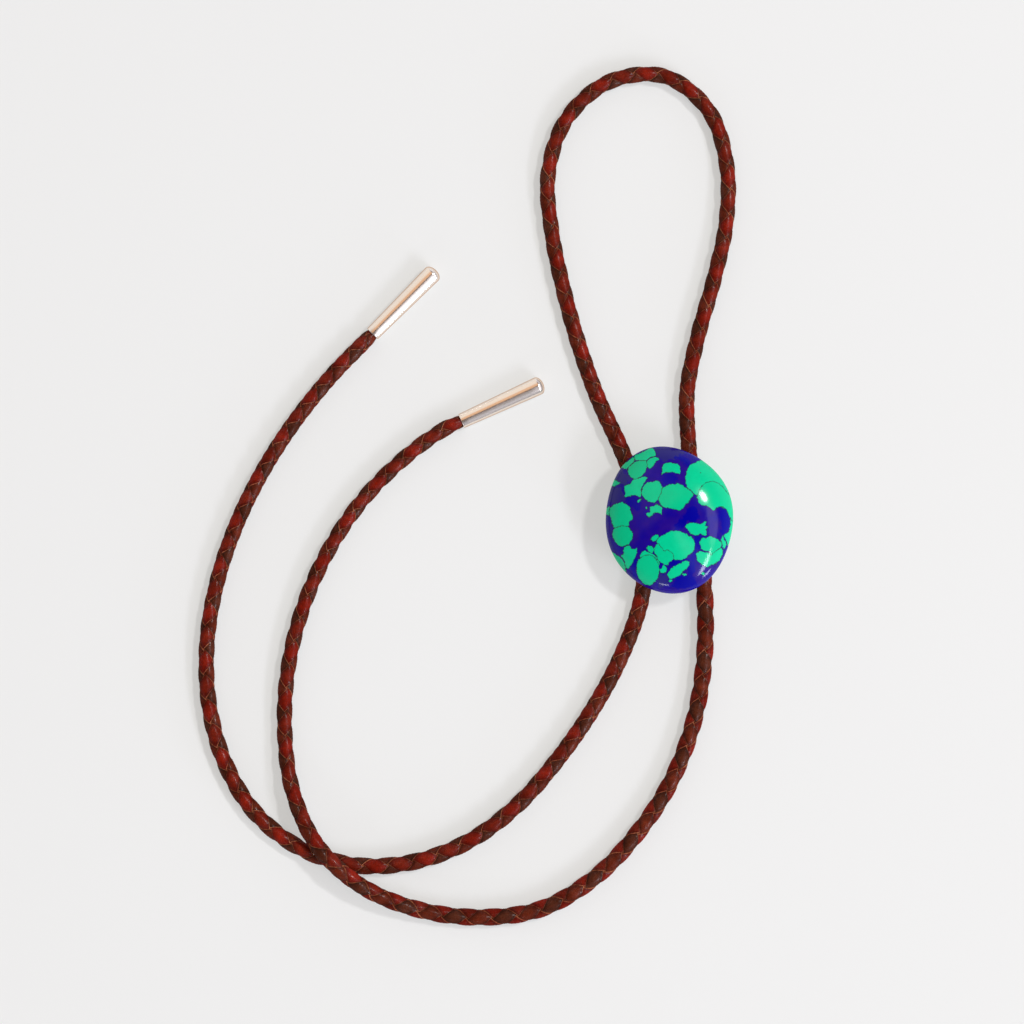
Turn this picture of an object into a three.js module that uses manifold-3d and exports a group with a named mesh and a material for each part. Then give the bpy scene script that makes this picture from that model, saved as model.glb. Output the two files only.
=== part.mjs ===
// A bolo tie, lying flat: a polished egg-shaped stone on a metal clasp that slides on a braided
// leather cord, whose two ends wear metal tips. Lengths are in millimetres. Z is up, with the
// table at Z = 0, and Y runs up the tie, from the tips' side towards the neck loop. The origin is
// on the table under the middle of the stone.

import * as THREE from 'three';
import { mergeVertices } from 'three/addons/utils/BufferGeometryUtils.js';
import Module from 'manifold-3d';

const wasm = await Module();
wasm.setup();

// Clearance between pieces that touch, such as the glue line behind the stone
const TOUCH_GAP = 0.3;

// The cord: round, braided, limp enough to lie in loose curves
const CORD_DIAMETER = 4.4;
const CORD_SIDES = 10;
const CORD_STEP = 12;

// The slide sits askew on the cord, its top leaning to the left
const SLIDE_LEAN_DEG = 7;

// The stone: length along the slide, width across it, thickness from flat back to crown
const STONE_LENGTH = 41;
const STONE_WIDTH = 35.5;
const STONE_THICKNESS = 8.8;
const STONE_BACK_BEVEL = 1.3;

// The clasp behind the stone
const PLATE_WIDTH = 26;
const PLATE_THICKNESS = 0.9;
const PLATE_CORNER = 4;
const SLEEVE_SPACING = 15.4;
const SLEEVE_LENGTH = 17;
const SLEEVE_WALL = 0.7;
const SLEEVE_CLEARANCE = 0.5;
const SOLDER_DEPTH = 0.4;
const STRAP_LENGTH = 8;
const STRAP_THICKNESS = 0.8;

// The tips: caps that flare a little towards a rounded end
const TIP_LENGTH = 25.2;
const TIP_MOUTH_DIAMETER = 4.2;
const TIP_END_DIAMETER = 5.1;
const TIP_ROUNDING = 1.6;
const TIP_WALL = 0.35;
const TIP_BORE_DEPTH = 9;
const PARED_CLEARANCE = 0.25;

// How the cord lies. It leaves the table over these planar lengths: beside a sleeve, and where
// the right tail passes over the left one in a long low hump.
const SLEEVE_RAMP = 14;
const HUMP_REACH = 38;
const HUMP_CLEARANCE = 0.5;
const CROSSING = new THREE.Vector2(-94.1, -95.4);

// Where each tip's mouth lies on the table, and the way the tip points, anticlockwise from +X
const TIP_LEFT_PLACE = { mouth: [-82.9, 52.1], headingDeg: 45 };
const TIP_RIGHT_PLACE = { mouth: [-58, 27.7], headingDeg: 24.6 };

// The cord's route on the table, chosen by hand. The loop runs from the left sleeve to the right
// one, and each tail from its sleeve towards its tip.
const NECK_POINTS = [
  [-13.1, 19.4], [-19.8, 34.1], [-25.2, 49.3], [-29.5, 64.9], [-32.7, 80.7], [-33.7, 96.8],
  [-28.7, 112], [-16.8, 122.6], [-1.1, 124.2], [11.3, 114.5], [16.3, 99.2], [16.1, 83.1],
  [12.7, 67.3], [8.3, 51.7], [5.2, 35.9], [5.7, 19.8],
];
const LEFT_POINTS = [
  [-7.7, -22.5], [-13.3, -38.2], [-21.2, -52.9], [-30.8, -66.7], [-41.8, -79.3], [-55, -89.4],
  [-70.5, -95.5], [-87.1, -96.7], [-103, -91.9], [-116, -81.6], [-124.5, -67.2],
  [-128.7, -51.1], [-129.2, -34.4], [-126.5, -17.9], [-121.3, -2.1], [-114, 13],
  [-105, 27.1], [-94.6, 40.1],
];
const RIGHT_POINTS = [
  [10.2, -22.5], [9.9, -39.9], [6.9, -56.9], [0.7, -73.1], [-8.7, -87.6], [-20.7, -100.1],
  [-35.6, -108.8], [-52.7, -111.2], [-69.8, -109], [-85.7, -102.2], [-98.3, -90.5],
  [-105.4, -74.8], [-107.5, -57.6], [-106.3, -40.3], [-102, -23.6], [-94.8, -7.8],
  [-85, 6.4], [-72.6, 18.5],
];

// The stone's outline is an ellipse with a few shallow bulges: how many of them go round it, how
// high each is as a share of the radius, and which way the first one faces
const STONE_BULGES = [
  { count: 1, share: 0.013, facingDeg: 195 },
  { count: 3, share: 0.01, facingDeg: 10 },
  { count: 4, share: 0.015, facingDeg: 24.5 },
];
// The girdle, the stone's widest band, as shares of its thickness above the flat back
const GIRDLE = { low: 0.13, high: 0.22 };
const STONE_FACETS = { around: 72, crown: 14 };
const ROUND_FACETS = 28;
const CORNER_FACETS = 6;
const MERGE_DISTANCE = 1e-4;

// Sizes that follow from the ones above
const CORD_RADIUS = CORD_DIAMETER / 2;
const SLEEVE_BORE_RADIUS = CORD_RADIUS + SLEEVE_CLEARANCE;
const SLEEVE_RADIUS = SLEEVE_BORE_RADIUS + SLEEVE_WALL;
const PLATE_BOTTOM = 2 * SLEEVE_RADIUS - SOLDER_DEPTH;
const STONE_BOTTOM = PLATE_BOTTOM + PLATE_THICKNESS + TOUCH_GAP;
const TIP_BORE_RADIUS = TIP_MOUTH_DIAMETER / 2 - TIP_WALL;
const PARED_RADIUS = TIP_BORE_RADIUS - PARED_CLEARANCE;
const PARED_LENGTH = TIP_BORE_DEPTH - TOUCH_GAP;
const SLIDE_LEAN = THREE.MathUtils.degToRad(SLIDE_LEAN_DEG);

// Materials

function finish(color, roughness, metalness) {
  return new THREE.MeshStandardMaterial({ color, roughness, metalness });
}

function stoneFinish() {
  return finish(0x2a1a9a, 0.12, 0);
}

function leatherFinish() {
  return finish(0x5c170c, 0.5, 0);
}

function claspFinish() {
  return finish(0xb9b2a4, 0.35, 1);
}

function tipFinish() {
  return finish(0xe6d3bd, 0.12, 1);
}

// Solids: joins and cuts of closed meshes

function toSolid(geometry) {
  const bare = geometry.clone();
  bare.deleteAttribute('normal');
  bare.deleteAttribute('uv');
  const merged = mergeVertices(bare, MERGE_DISTANCE);
  return new wasm.Manifold(new wasm.Mesh({
    numProp: 3,
    vertProperties: new Float32Array(merged.attributes.position.array),
    triVerts: new Uint32Array(merged.index.array),
  }));
}

function toGeometry(solid) {
  const mesh = solid.getMesh();
  const geometry = new THREE.BufferGeometry();
  geometry.setAttribute('position', new THREE.BufferAttribute(mesh.vertProperties, 3));
  geometry.setIndex(new THREE.BufferAttribute(mesh.triVerts, 1));
  geometry.computeVertexNormals();
  return geometry;
}

function join(geometries) {
  return geometries.map(toSolid).reduce((whole, solid) => whole.add(solid));
}

function cut(solid, geometries) {
  return geometries.map(toSolid).reduce((whole, tool) => whole.subtract(tool), solid);
}

function named(name, geometry, material) {
  const mesh = new THREE.Mesh(geometry, material);
  mesh.name = name;
  return mesh;
}

// The stone

// Radius of the stone's outline towards an angle, before it is centred
function outlineRadius(angle) {
  const half = { along: STONE_LENGTH / 2, across: STONE_WIDTH / 2 };
  const turned = angle - Math.PI / 2 - SLIDE_LEAN;
  const ellipse = (half.along * half.across)
    / Math.hypot(half.across * Math.cos(turned), half.along * Math.sin(turned));
  let bulge = 1;
  for (const { count, share, facingDeg } of STONE_BULGES) {
    bulge += share * Math.cos(count * (angle - THREE.MathUtils.degToRad(facingDeg)));
  }
  return ellipse * bulge;
}

// The outline's points, shifted so that the middle of their box is the origin
function stoneOutline() {
  const points = [];
  for (let i = 0; i < STONE_FACETS.around; i += 1) {
    const angle = (2 * Math.PI * i) / STONE_FACETS.around;
    const radius = outlineRadius(angle);
    points.push(new THREE.Vector2(radius * Math.cos(angle), radius * Math.sin(angle)));
  }
  const middle = new THREE.Box2().setFromPoints(points).getCenter(new THREE.Vector2());
  return points.map((point) => point.sub(middle));
}

// Rings from the flat back to the crown: how much of the outline each reaches, and its height
function stoneRings() {
  const back = 1 - (2 * STONE_BACK_BEVEL) / STONE_WIDTH;
  const rings = [
    { reach: back, height: 0 },
    { reach: 1, height: GIRDLE.low * STONE_THICKNESS },
  ];
  for (let i = 0; i < STONE_FACETS.crown; i += 1) {
    const turn = (Math.PI / 2) * (i / STONE_FACETS.crown);
    const share = GIRDLE.high + (1 - GIRDLE.high) * Math.sin(turn);
    rings.push({ reach: Math.cos(turn), height: share * STONE_THICKNESS });
  }
  return rings;
}

// A closed body through scaled copies of an outline, with a point in the middle of each end
function lofted(outline, rings, topHeight) {
  const around = outline.length;
  const positions = [0, 0, rings[0].height];
  for (const { reach, height } of rings) {
    for (const point of outline) {
      positions.push(point.x * reach, point.y * reach, height);
    }
  }
  positions.push(0, 0, topHeight);
  const top = 1 + rings.length * around;
  const last = top - around;
  const faces = [];
  for (let i = 0; i < around; i += 1) {
    const next = (i + 1) % around;
    faces.push(0, 1 + next, 1 + i);
    faces.push(last + i, last + next, top);
    for (let ring = 1; ring < top - around; ring += around) {
      faces.push(ring + i, ring + next, ring + around + next);
      faces.push(ring + i, ring + around + next, ring + around + i);
    }
  }
  const geometry = new THREE.BufferGeometry();
  geometry.setAttribute('position', new THREE.Float32BufferAttribute(positions, 3));
  geometry.setIndex(faces);
  geometry.computeVertexNormals();
  return geometry;
}

function makeStone() {
  const stone = named(
    'cabochon',
    lofted(stoneOutline(), stoneRings(), STONE_THICKNESS),
    stoneFinish(),
  );
  stone.position.z = STONE_BOTTOM;
  return stone;
}

// The clasp, drawn upright and then leant as the slide is

function roundedRectangle(width, length, corner) {
  const shape = new THREE.Shape();
  const right = width / 2;
  const top = length / 2;
  shape.absarc(right - corner, top - corner, corner, 0, Math.PI / 2);
  shape.absarc(corner - right, top - corner, corner, Math.PI / 2, Math.PI);
  shape.absarc(corner - right, corner - top, corner, Math.PI, 1.5 * Math.PI);
  shape.absarc(right - corner, corner - top, corner, 1.5 * Math.PI, 2 * Math.PI);
  shape.closePath();
  return shape;
}

function slab(shape, thickness, bottom) {
  const settings = { depth: thickness, bevelEnabled: false, curveSegments: CORNER_FACETS };
  return new THREE.ExtrudeGeometry(shape, settings).translate(0, 0, bottom);
}

function rod(radius, length, x) {
  return new THREE.CylinderGeometry(radius, radius, length, ROUND_FACETS)
    .translate(x, 0, SLEEVE_RADIUS);
}

function makeClasp() {
  const sides = [-SLEEVE_SPACING / 2, SLEEVE_SPACING / 2];
  const plate = slab(
    roundedRectangle(PLATE_WIDTH, SLEEVE_LENGTH, PLATE_CORNER),
    PLATE_THICKNESS,
    PLATE_BOTTOM,
  );
  const strap = slab(
    roundedRectangle(SLEEVE_SPACING + SLEEVE_RADIUS, STRAP_LENGTH, STRAP_THICKNESS),
    STRAP_THICKNESS,
    0,
  );
  const sleeves = sides.map((x) => rod(SLEEVE_RADIUS, SLEEVE_LENGTH, x));
  const bores = sides.map((x) => rod(SLEEVE_BORE_RADIUS, 2 * SLEEVE_LENGTH, x));
  const body = cut(join([plate, strap, ...sleeves]), bores);
  const clasp = named('back_clasp', toGeometry(body), claspFinish());
  clasp.rotation.z = SLIDE_LEAN;
  return clasp;
}

// The cord

// A point on a sleeve's middle line, on the table: side is -1 for the left sleeve and 1 for the
// right, and along runs up the tie from the sleeve's middle
function sleevePoint(side, along) {
  return new THREE.Vector2((side * SLEEVE_SPACING) / 2, along)
    .rotateAround(new THREE.Vector2(), SLIDE_LEAN);
}

// 1 up to the flat length, then an even slope down to 0 at the reach
function ramp(distance, flat, reach) {
  const share = THREE.MathUtils.clamp((distance - flat) / (reach - flat), 0, 1);
  return (1 + Math.cos(Math.PI * share)) / 2;
}

// How far the cord's middle is lifted off its lying height near a sleeve
function sleeveLift(point) {
  const flat = SLEEVE_LENGTH / 2;
  const nearest = Math.min(
    point.distanceTo(sleevePoint(-1, 0)),
    point.distanceTo(sleevePoint(1, 0)),
  );
  return (SLEEVE_RADIUS - CORD_RADIUS) * ramp(nearest, flat, flat + SLEEVE_RAMP);
}

function humpLift(point) {
  return (CORD_DIAMETER + HUMP_CLEARANCE) * ramp(point.distanceTo(CROSSING), 0, HUMP_REACH);
}

// A cord's middle line: a smooth curve through points on the table, lifted as lift says
class LyingCord extends THREE.Curve {
  constructor(points, lift) {
    super();
    this.flat = new THREE.CatmullRomCurve3(points.map(({ x, y }) => new THREE.Vector3(x, y, 0)));
    this.lift = lift;
  }

  getPoint(t, target = new THREE.Vector3()) {
    this.flat.getPoint(t, target);
    target.z = CORD_RADIUS + this.lift(new THREE.Vector2(target.x, target.y));
    return target;
  }
}

function tube(curve) {
  const section = new THREE.Shape();
  section.absarc(0, 0, CORD_RADIUS, 0, 2 * Math.PI);
  return new THREE.ExtrudeGeometry(section, {
    steps: Math.round(curve.getLength() / CORD_STEP),
    curveSegments: CORD_SIDES / 2,
    extrudePath: curve,
  });
}

function toPoints(table) {
  return table.map(([x, y]) => new THREE.Vector2(x, y));
}

// The way a tip points, in plan
function tipDirection(place) {
  const heading = THREE.MathUtils.degToRad(place.headingDeg);
  return new THREE.Vector2(Math.cos(heading), Math.sin(heading));
}

function makeNeckLoop() {
  const points = [
    sleevePoint(-1, TOUCH_GAP / 2),
    sleevePoint(-1, SLEEVE_LENGTH / 2),
    ...toPoints(NECK_POINTS),
    sleevePoint(1, SLEEVE_LENGTH / 2),
    sleevePoint(1, TOUCH_GAP / 2),
  ];
  return named('cord_neck_loop', tube(new LyingCord(points, sleeveLift)), leatherFinish());
}

// A tail runs from a sleeve to its tip's mouth, and its end is pared down to fill the tip
function makeTail(name, side, table, place, lift) {
  const direction = tipDirection(place);
  const mouth = new THREE.Vector2(...place.mouth);
  const end = mouth.clone().addScaledVector(direction, -TOUCH_GAP);
  const points = [
    sleevePoint(side, -TOUCH_GAP / 2),
    sleevePoint(side, -SLEEVE_LENGTH / 2),
    ...toPoints(table),
    end.clone().addScaledVector(direction, -CORD_DIAMETER),
    end,
  ];
  const root = CORD_RADIUS;
  const length = root + PARED_LENGTH;
  const pared = new THREE.CylinderGeometry(PARED_RADIUS, PARED_RADIUS, length, ROUND_FACETS / 2)
    .translate(0, length / 2 - root, 0)
    .applyMatrix4(tipPose(place));
  const body = join([tube(new LyingCord(points, lift)), pared]);
  return named(name, toGeometry(body), leatherFinish());
}

// The tips

// A tip lies on its wide end, so it tilts up a little from its mouth at the cord's height
function tipTilt() {
  return Math.atan((TIP_END_DIAMETER / 2 - CORD_RADIUS) / (TIP_LENGTH - TIP_ROUNDING));
}

// Lays something drawn along +Y, with the tip's mouth at the origin, where the tip lies
function tipPose(place) {
  const turn = new THREE.Euler(0, -tipTilt(), tipDirection(place).angle(), 'ZYX');
  return new THREE.Matrix4()
    .makeRotationFromEuler(turn)
    .multiply(new THREE.Matrix4().makeRotationZ(-Math.PI / 2))
    .setPosition(...place.mouth, CORD_RADIUS);
}

// Half of the tip's section, from the bottom of its bore out round the mouth to the rounded end
function tipProfile() {
  const endRadius = TIP_END_DIAMETER / 2;
  const shoulder = TIP_LENGTH - TIP_ROUNDING;
  const profile = [
    new THREE.Vector2(0, TIP_BORE_DEPTH),
    new THREE.Vector2(TIP_BORE_RADIUS, TIP_BORE_DEPTH),
    new THREE.Vector2(TIP_BORE_RADIUS, 0),
    new THREE.Vector2(TIP_MOUTH_DIAMETER / 2, 0),
  ];
  for (let i = 0; i < CORNER_FACETS; i += 1) {
    const turn = (Math.PI / 2) * (i / CORNER_FACETS);
    profile.push(new THREE.Vector2(
      endRadius * Math.cos(turn),
      shoulder + TIP_ROUNDING * Math.sin(turn),
    ));
  }
  profile.push(new THREE.Vector2(0, TIP_LENGTH));
  return profile;
}

function makeTip(name, place) {
  const tip = named(name, new THREE.LatheGeometry(tipProfile(), ROUND_FACETS), tipFinish());
  tip.applyMatrix4(tipPose(place));
  return tip;
}

const slide = new THREE.Group();
slide.add(makeStone(), makeClasp());

const cord = new THREE.Group();
cord.add(
  makeNeckLoop(),
  makeTail('cord_left_tail', -1, LEFT_POINTS, TIP_LEFT_PLACE, sleeveLift),
  makeTail('cord_right_tail', 1, RIGHT_POINTS, TIP_RIGHT_PLACE, (point) => (
    sleeveLift(point) + humpLift(point)
  )),
  makeTip('tip_left', TIP_LEFT_PLACE),
  makeTip('tip_right', TIP_RIGHT_PLACE),
);

const boloTie = new THREE.Group();
boloTie.add(slide, cord);

export default boloTie;
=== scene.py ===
# %% [markdown]
# # A bolo tie on a pale table
# A bolo tie is a braided leather cord that hangs round the neck. A slide with a polished stone
# draws the cord together, and each end wears a metal tip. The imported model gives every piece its
# place. This lesson dresses it: four laces for the braid, a stone with a mineral pattern, bright
# tips, a plain clasp, and the light that makes them read.

# %% Load the frame
import math

import bmesh
import bpy
import numpy as np
from mathutils import Matrix, Quaternion, Vector


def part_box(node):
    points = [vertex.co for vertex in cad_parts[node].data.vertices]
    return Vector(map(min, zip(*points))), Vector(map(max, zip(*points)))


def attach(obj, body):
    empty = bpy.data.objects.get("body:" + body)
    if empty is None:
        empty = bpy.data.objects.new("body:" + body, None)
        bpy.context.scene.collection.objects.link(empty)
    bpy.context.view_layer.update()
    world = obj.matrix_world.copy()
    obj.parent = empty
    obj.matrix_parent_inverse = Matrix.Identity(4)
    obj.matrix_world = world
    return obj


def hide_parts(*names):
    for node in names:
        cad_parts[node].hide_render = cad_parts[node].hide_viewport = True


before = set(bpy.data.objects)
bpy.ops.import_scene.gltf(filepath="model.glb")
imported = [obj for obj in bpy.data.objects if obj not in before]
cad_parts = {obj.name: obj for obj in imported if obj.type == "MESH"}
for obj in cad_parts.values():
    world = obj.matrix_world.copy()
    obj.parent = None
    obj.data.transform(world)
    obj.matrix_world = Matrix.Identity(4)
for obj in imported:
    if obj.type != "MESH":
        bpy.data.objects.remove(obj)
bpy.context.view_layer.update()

# %% [markdown]
# ## The camera
# The tie was photographed from straight above. A long lens from more than a metre away keeps the
# raised stone nearly the size that it has on the table. The lens and the distance are worked out
# from the width of table that the square frame shows.

# %% Camera
MM = 0.001


def placed(name, data):
    """A new object in the scene that shows a mesh, a camera or a light."""
    thing = bpy.data.objects.new(name, data)
    bpy.context.scene.collection.objects.link(thing)
    return thing


FRAME_WIDTH = 286.7 * MM
FRAME_CENTRE = (-43.82 * MM, 2.24 * MM)
CORD_RADIUS = 2.2 * MM
LENS = 150
SENSOR = 36

camera_data = bpy.data.cameras.new("overhead_camera")
camera_data.lens = LENS
camera_data.sensor_width = SENSOR
camera = placed("overhead_camera", camera_data)
# The width is that of the table as seen at the height of the cord's middle
camera_height = CORD_RADIUS + FRAME_WIDTH * LENS / SENSOR
camera.location = (*FRAME_CENTRE, camera_height)
bpy.context.scene.camera = camera
print("camera height in m", round(camera_height, 3))

# %% [markdown]
# ## Where the cord lies
# One length of cord makes the whole tie. Here it is laid out as three stretches that meet inside
# the clasp's two sleeves: the neck loop and two tails. Each follows the same points as its solid in
# the imported model. The points are flat, in millimetres on the table. A smooth curve runs through
# them, and its height is added after: up into the sleeves, and over the other tail in a long hump.

# %% Route points, in millimetres
NECK_POINTS = [
    (-13.1, 19.4), (-19.8, 34.1), (-25.2, 49.3), (-29.5, 64.9), (-32.7, 80.7), (-33.7, 96.8),
    (-28.7, 112), (-16.8, 122.6), (-1.1, 124.2), (11.3, 114.5), (16.3, 99.2), (16.1, 83.1),
    (12.7, 67.3), (8.3, 51.7), (5.2, 35.9), (5.7, 19.8),
]
LEFT_POINTS = [
    (-7.7, -22.5), (-13.3, -38.2), (-21.2, -52.9), (-30.8, -66.7), (-41.8, -79.3), (-55, -89.4),
    (-70.5, -95.5), (-87.1, -96.7), (-103, -91.9), (-116, -81.6), (-124.5, -67.2),
    (-128.7, -51.1), (-129.2, -34.4), (-126.5, -17.9), (-121.3, -2.1), (-114, 13),
    (-105, 27.1), (-94.6, 40.1),
]
RIGHT_POINTS = [
    (10.2, -22.5), (9.9, -39.9), (6.9, -56.9), (0.7, -73.1), (-8.7, -87.6), (-20.7, -100.1),
    (-35.6, -108.8), (-52.7, -111.2), (-69.8, -109), (-85.7, -102.2), (-98.3, -90.5),
    (-105.4, -74.8), (-107.5, -57.6), (-106.3, -40.3), (-102, -23.6), (-94.8, -7.8),
    (-85, 6.4), (-72.6, 18.5),
]
TIPS = {
    "left": {"mouth": (-82.9, 52.1), "heading": 45.0},
    "right": {"mouth": (-58.0, 27.7), "heading": 24.6},
}
print("route points", len(NECK_POINTS), len(LEFT_POINTS), len(RIGHT_POINTS))

# %% Sizes that the route depends on
CORD_DIAMETER = 2 * CORD_RADIUS
TOUCH_GAP = 0.3 * MM
SLIDE_LEAN = math.radians(7)
SLEEVE_SPACING = 15.4 * MM
SLEEVE_LENGTH = 17 * MM
SLEEVE_CLEARANCE = 0.5 * MM
SLEEVE_WALL = 0.7 * MM
SLEEVE_RADIUS = CORD_RADIUS + SLEEVE_CLEARANCE + SLEEVE_WALL
SLEEVE_RAMP = 14 * MM
HUMP_REACH = 38 * MM
HUMP_CLEARANCE = 0.5 * MM
HUMP_LIFT = CORD_DIAMETER + HUMP_CLEARANCE
CROSSING = np.array((-94.1, -95.4)) * MM
print("sleeves across in mm", round(2 * SLEEVE_RADIUS / MM, 2))


# %% A smooth line through flat points
def smooth_through(points, samples=60):
    """Dense points on a centripetal Catmull-Rom curve through the given ones."""
    ends = [2 * points[0] - points[1], *points, 2 * points[-1] - points[-2]]
    share = np.linspace(0, 1, samples, endpoint=False)[:, None]
    pieces = []
    for a, b, c, d in zip(ends, ends[1:], ends[2:], ends[3:]):
        before, here, after = (np.linalg.norm(q - p) ** 0.5 for p, q in ((a, b), (b, c), (c, d)))
        leave = ((b - a) / before - (c - a) / (before + here) + (c - b) / here) * here
        reach = ((c - b) / here - (d - b) / (here + after) + (d - c) / after) * here
        square = -3 * b + 3 * c - 2 * leave - reach
        cube = 2 * b - 2 * c + leave + reach
        pieces.append(b + share * (leave + share * (square + share * cube)))
    pieces.append(np.array(points[-1:]))
    return np.concatenate(pieces)


def ramp(distance, flat, reach):
    """1 up to the flat length, then an even slope down to 0 at the reach."""
    share = np.clip((distance - flat) / (reach - flat), 0, 1)
    return (1 + np.cos(np.pi * share)) / 2


def sleeve_point(side, along):
    """A point on a sleeve's middle line: side is -1 or 1, along runs up the tie."""
    x, y = side * SLEEVE_SPACING / 2, along
    turn = (math.cos(SLIDE_LEAN), math.sin(SLIDE_LEAN))
    return np.array((x * turn[0] - y * turn[1], x * turn[1] + y * turn[0]))


def lifted(flat, hump):
    """The flat line at the cord's height: raised at the sleeves, and over the crossing."""
    near = np.minimum(*(np.linalg.norm(flat - sleeve_point(s, 0), axis=1) for s in (-1, 1)))
    half = SLEEVE_LENGTH / 2
    height = CORD_RADIUS + (SLEEVE_RADIUS - CORD_RADIUS) * ramp(near, half, half + SLEEVE_RAMP)
    if hump:
        height += HUMP_LIFT * ramp(np.linalg.norm(flat - CROSSING, axis=1), 0, HUMP_REACH)
    return np.column_stack((flat, height))


def evenly(line, step):
    """The same line with its points an even step apart."""
    run = np.concatenate(([0], np.cumsum(np.linalg.norm(np.diff(line, axis=0), axis=1))))
    places = np.linspace(0, run[-1], round(run[-1] / step) + 1)
    return np.column_stack([np.interp(places, run, line[:, k]) for k in range(3)])


# %% The three stretches
BRAID_STEP = 0.34 * MM
# How far the laces run on inside a tip before they are out of sight
INTO_TIP = 2.5 * MM


def direction(tip):
    """The way a tip points, in plan."""
    heading = math.radians(TIPS[tip]["heading"])
    return np.array((math.cos(heading), math.sin(heading)))


def tail_line(side, table, tip, hump):
    """A tail from its sleeve's middle to just inside its tip."""
    mouth = np.array(TIPS[tip]["mouth"]) * MM
    end = mouth - direction(tip) * TOUCH_GAP
    flat = smooth_through([
        sleeve_point(side, -TOUCH_GAP / 2),
        sleeve_point(side, -SLEEVE_LENGTH / 2),
        *(np.array(table) * MM),
        end - direction(tip) * CORD_DIAMETER,
        end,
    ])
    flat = np.concatenate((flat, [mouth + direction(tip) * INTO_TIP]))
    return evenly(lifted(flat, hump), BRAID_STEP)


def neck_line():
    """The neck loop, from the left sleeve's middle round to the right one's."""
    flat = smooth_through([
        sleeve_point(-1, TOUCH_GAP / 2),
        sleeve_point(-1, SLEEVE_LENGTH / 2),
        *(np.array(NECK_POINTS) * MM),
        sleeve_point(1, SLEEVE_LENGTH / 2),
        sleeve_point(1, TOUCH_GAP / 2),
    ])
    return evenly(lifted(flat, False), BRAID_STEP)


def length_of(line):
    """A line's length in metres."""
    return float(np.linalg.norm(np.diff(line, axis=0), axis=1).sum())


LINES = {
    "neck": neck_line(),
    "left": tail_line(-1, LEFT_POINTS, "left", False),
    "right": tail_line(1, RIGHT_POINTS, "right", True),
}
for stretch, line in LINES.items():
    print(stretch, "length in mm", round(length_of(line) / MM, 1), "points", len(line))

# %% [markdown]
# ## The braid
# Four leather laces make a round braid: two wind one way and two the other, and each goes over
# one, under one. Seen from any side, the braid shows a column of diamonds, each the place where
# one lace lies on top. A bump map on a tube would lose the laces' cut edges, so each lace is
# swept as a body of its own. Its middle follows a helix. A cosine lifts it at every second
# crossing and sinks it at the others.
#
# A lace's section is a short table. `across` runs over its width from -1 to 1. `drop` is how far
# a point lies under the lace's crown. `raw` says where the undyed cut edge shows, the next column
# how far the dye is darkened towards the lace's edges (painted shade between the laces, partly
# handling wear), and `corner` which points make a crisp corner.

# %% Lace section
BRAID_RADIUS = 2.21 * MM
DIVE_DEPTH = 0.88 * MM
DIVE_SHARPNESS = 1.9
LACE_SPREAD = math.radians(86)
LACE_SECTION = [
    {"across": -0.88, "drop": 0.16, "raw": 0.0, "shade_and_wear": 1.0, "corner": True},
    {"across": -0.66, "drop": 0.07, "raw": 0.0, "shade_and_wear": 0.55, "corner": False},
    {"across": -0.42, "drop": 0.02, "raw": 0.0, "shade_and_wear": 0.2, "corner": False},
    {"across": -0.14, "drop": 0.00, "raw": 0.0, "shade_and_wear": 0.0, "corner": False},
    {"across": 0.14, "drop": 0.00, "raw": 0.0, "shade_and_wear": 0.0, "corner": False},
    {"across": 0.42, "drop": 0.02, "raw": 0.0, "shade_and_wear": 0.2, "corner": False},
    {"across": 0.66, "drop": 0.07, "raw": 0.0, "shade_and_wear": 0.55, "corner": False},
    {"across": 0.88, "drop": 0.16, "raw": 0.0, "shade_and_wear": 1.0, "corner": True},
    {"across": 0.90, "drop": 0.19, "raw": 1.0, "shade_and_wear": 0.0, "corner": True},
    {"across": 1.00, "drop": 0.42, "raw": 1.0, "shade_and_wear": 0.0, "corner": True},
    {"across": 0.85, "drop": 0.70, "raw": 0.6, "shade_and_wear": 0.0, "corner": False},
    {"across": 0.30, "drop": 0.78, "raw": 0.6, "shade_and_wear": 0.0, "corner": False},
    {"across": -0.30, "drop": 0.78, "raw": 0.6, "shade_and_wear": 0.0, "corner": False},
    {"across": -0.85, "drop": 0.70, "raw": 0.6, "shade_and_wear": 0.0, "corner": False},
    {"across": -1.00, "drop": 0.42, "raw": 1.0, "shade_and_wear": 0.0, "corner": True},
    {"across": -0.90, "drop": 0.19, "raw": 1.0, "shade_and_wear": 0.0, "corner": True},
]
section = {key: np.array([row[key] for row in LACE_SECTION]) for key in LACE_SECTION[0]}
print("points round a lace", len(LACE_SECTION))

# %% [markdown]
# The four laces are dyed differently: two reds wind one way, a dark brown and a mahogany the
# other. Which column of diamonds faces up changes along the cord, because a braid twists as it is
# bent. A table for each stretch gives that twist: `at` is a share of the stretch's length, and
# `red_side` is the angle from straight up to the red column, towards the left of travel.

# %% Laces
LACES = [
    {"hand": 1, "start": 0.0, "tint": (0.100, 0.021, 0.008)},
    {"hand": 1, "start": math.pi, "tint": (0.150, 0.020, 0.006)},
    {"hand": -1, "start": 0.0, "tint": (0.250, 0.012, 0.003)},
    {"hand": -1, "start": math.pi, "tint": (0.200, 0.014, 0.004)},
]
BRAID_PITCH = 13.45 * MM
FIRST_TURN = {"neck": 0.22, "left": 0.17, "right": 0.70}

# Places are in mm from the middle of the sleeve, and angles in degrees
RED_SIDE = {
    "neck": {
        "at": (38, 49, 66, 99, 107, 119, 133, 172, 192, 237, 252),
        "angle": (-45, -30, -22, -22, -4, 0, 8, 10, 19, 20, 42),
    },
    "left": {
        "at": (63, 77, 91, 131, 170, 195, 217, 234, 265),
        "angle": (-48, -28, -16, -10, 0, 5, 17, 25, 37),
    },
    "right": {
        "at": (54, 79, 135, 161, 175, 189, 203, 219, 261, 275, 335),
        "angle": (-88, -82, -85, -80, -68, -48, -36, -17, -9, -2, 3),
    },
}
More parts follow.
